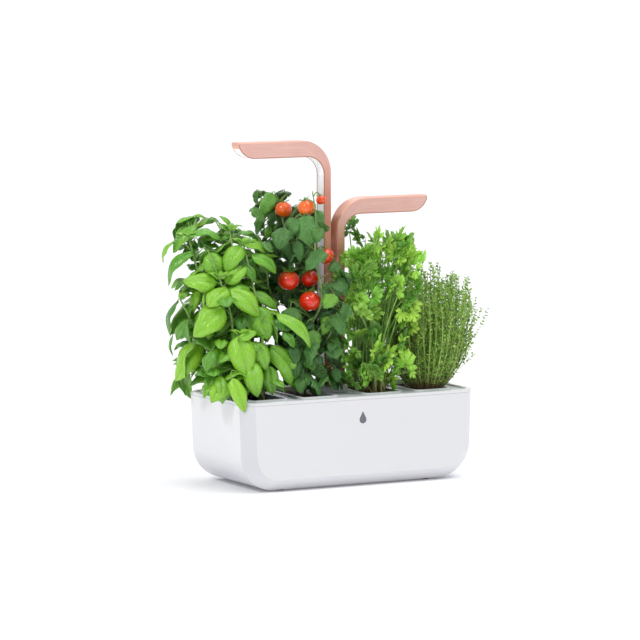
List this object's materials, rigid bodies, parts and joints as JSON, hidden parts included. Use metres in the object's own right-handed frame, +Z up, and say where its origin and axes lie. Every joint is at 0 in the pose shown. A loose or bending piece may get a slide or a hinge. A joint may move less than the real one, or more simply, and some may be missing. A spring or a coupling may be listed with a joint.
{
  "type": "indoor herb planter",
  "caption": "Table-top planter: white basin with a water tank, herb and tomato cartridges in a grey deck, and copper L-shaped grow lamps that slide in a central column.",
  "frame": {"origin": "middle of the footprint, on the table under the feet", "axes": "+X to the right along the row of plants, +Y to the rear, +Z up"},
  "size_m": [0.5246, 0.2106, 0.523],
  "materials": {
    "shell_white": "moulded, satin",
    "tray_white": "moulded",
    "deck_grey": "moulded, fine grain",
    "cover_grey": "moulded",
    "lens_grey": "polished",
    "column_grey": "moulded",
    "lamp_copper": "satin copper anodising",
    "diffuser_white": "opal",
    "liner_white": "moulded",
    "sink_aluminium": "extruded",
    "board_white": "solder mask",
    "board_green": "solder mask",
    "contact_brass": "plain",
    "steel": "plain",
    "foot_rubber": "plain",
    "socket_black": "moulded",
    "button_grey": "moulded",
    "float_foam": "closed-cell foam",
    "substrate_brown": "damp peat and coir",
    "wick_felt": "felt",
    "basil_green": "waxy leaf",
    "tomato_green": "dull leaf",
    "parsley_green": "leaf",
    "thyme_green": "fine leaf",
    "fruit_red": "smooth skin"
  },
  "bodies": {
    "basin": {"basin_shell": "shell_white", "indicator_lens": "lens_grey", "water_tank": "shell_white", "deck": "deck_grey", "filler_hinge_pin": "steel", "base_cover": "cover_grey", "base_screws": "steel", "column_screws": "steel", "feet": "foot_rubber", "lamp_column": "column_grey", "contact_rails": "contact_brass", "lamp_collar": "tray_white", "control_board": "board_green", "dc_socket": "socket_black", "button_spring": "steel", "switch_board": "board_green", "float_rod": "tray_white", "level_sensor": "socket_black"},
    "filler_flap": {"filler_flap": "deck_grey"},
    "power_button": {"power_button": "button_grey"},
    "float_ring": {"float_ring": "float_foam"},
    "basil_cartridge": {"basil_tray": "tray_white", "basil_substrate": "substrate_brown", "basil_wick": "wick_felt", "basil_plant": "basil_green"},
    "tomato_cartridge": {"tomato_tray": "tray_white", "tomato_substrate": "substrate_brown", "tomato_wick": "wick_felt", "tomato_plant": "tomato_green", "tomato_fruits": "fruit_red"},
    "parsley_cartridge": {"parsley_tray": "tray_white", "parsley_substrate": "substrate_brown", "parsley_wick": "wick_felt", "parsley_plant": "parsley_green"},
    "thyme_cartridge": {"thyme_tray": "tray_white", "thyme_substrate": "substrate_brown", "thyme_wick": "wick_felt", "thyme_plant": "thyme_green"},
    "left_lamp": {"left_lamp_cover": "lamp_copper", "left_diffuser": "diffuser_white", "left_stem_liner": "liner_white", "left_led_board": "board_white", "left_heat_sink": "sink_aluminium", "left_bus_bars": "contact_brass", "left_stem_shoe": "column_grey"},
    "right_lamp": {"right_lamp_cover": "lamp_copper", "right_diffuser": "diffuser_white", "right_stem_liner": "liner_white", "right_led_board": "board_white", "right_heat_sink": "sink_aluminium", "right_bus_bars": "contact_brass", "right_stem_shoe": "column_grey"}
  },
  "joints": [
    {"name": "left_lamp_height", "type": "slide", "parent": "basin", "child": "left_lamp", "axis": [0, 0, 1], "range_m": [-0.09, 0]},
    {"name": "right_lamp_height", "type": "slide", "parent": "basin", "child": "right_lamp", "axis": [0, 0, 1], "range_m": [0, 0.09]},
    {"name": "basil_cartridge_lift", "type": "slide", "parent": "basin", "child": "basil_cartridge", "axis": [0, 0, 1], "range_m": [0, 0.08]},
    {"name": "tomato_cartridge_lift", "type": "slide", "parent": "basin", "child": "tomato_cartridge", "axis": [0, 0, 1], "range_m": [0, 0.08]},
    {"name": "parsley_cartridge_lift", "type": "slide", "parent": "basin", "child": "parsley_cartridge", "axis": [0, 0, 1], "range_m": [0, 0.08]},
    {"name": "thyme_cartridge_lift", "type": "slide", "parent": "basin", "child": "thyme_cartridge", "axis": [0, 0, 1], "range_m": [0, 0.08]},
    {"name": "filler_flap_hinge", "type": "hinge", "parent": "basin", "child": "filler_flap", "pos_m": [0, 0.075, 0.1389], "axis": [-1, 0, 0], "range_deg": [0, 100]},
    {"name": "power_button_press", "type": "slide", "parent": "basin", "child": "power_button", "axis": [0, -1, 0], "range_m": [0, 0.0015], "stiffness_N_per_m": 400, "springref_m": -0.001, "deforming": ["button_spring"]},
    {"name": "float_rise", "type": "slide", "parent": "basin", "child": "float_ring", "axis": [0, 0, 1], "range_m": [0, 0.042]}
  ]
}
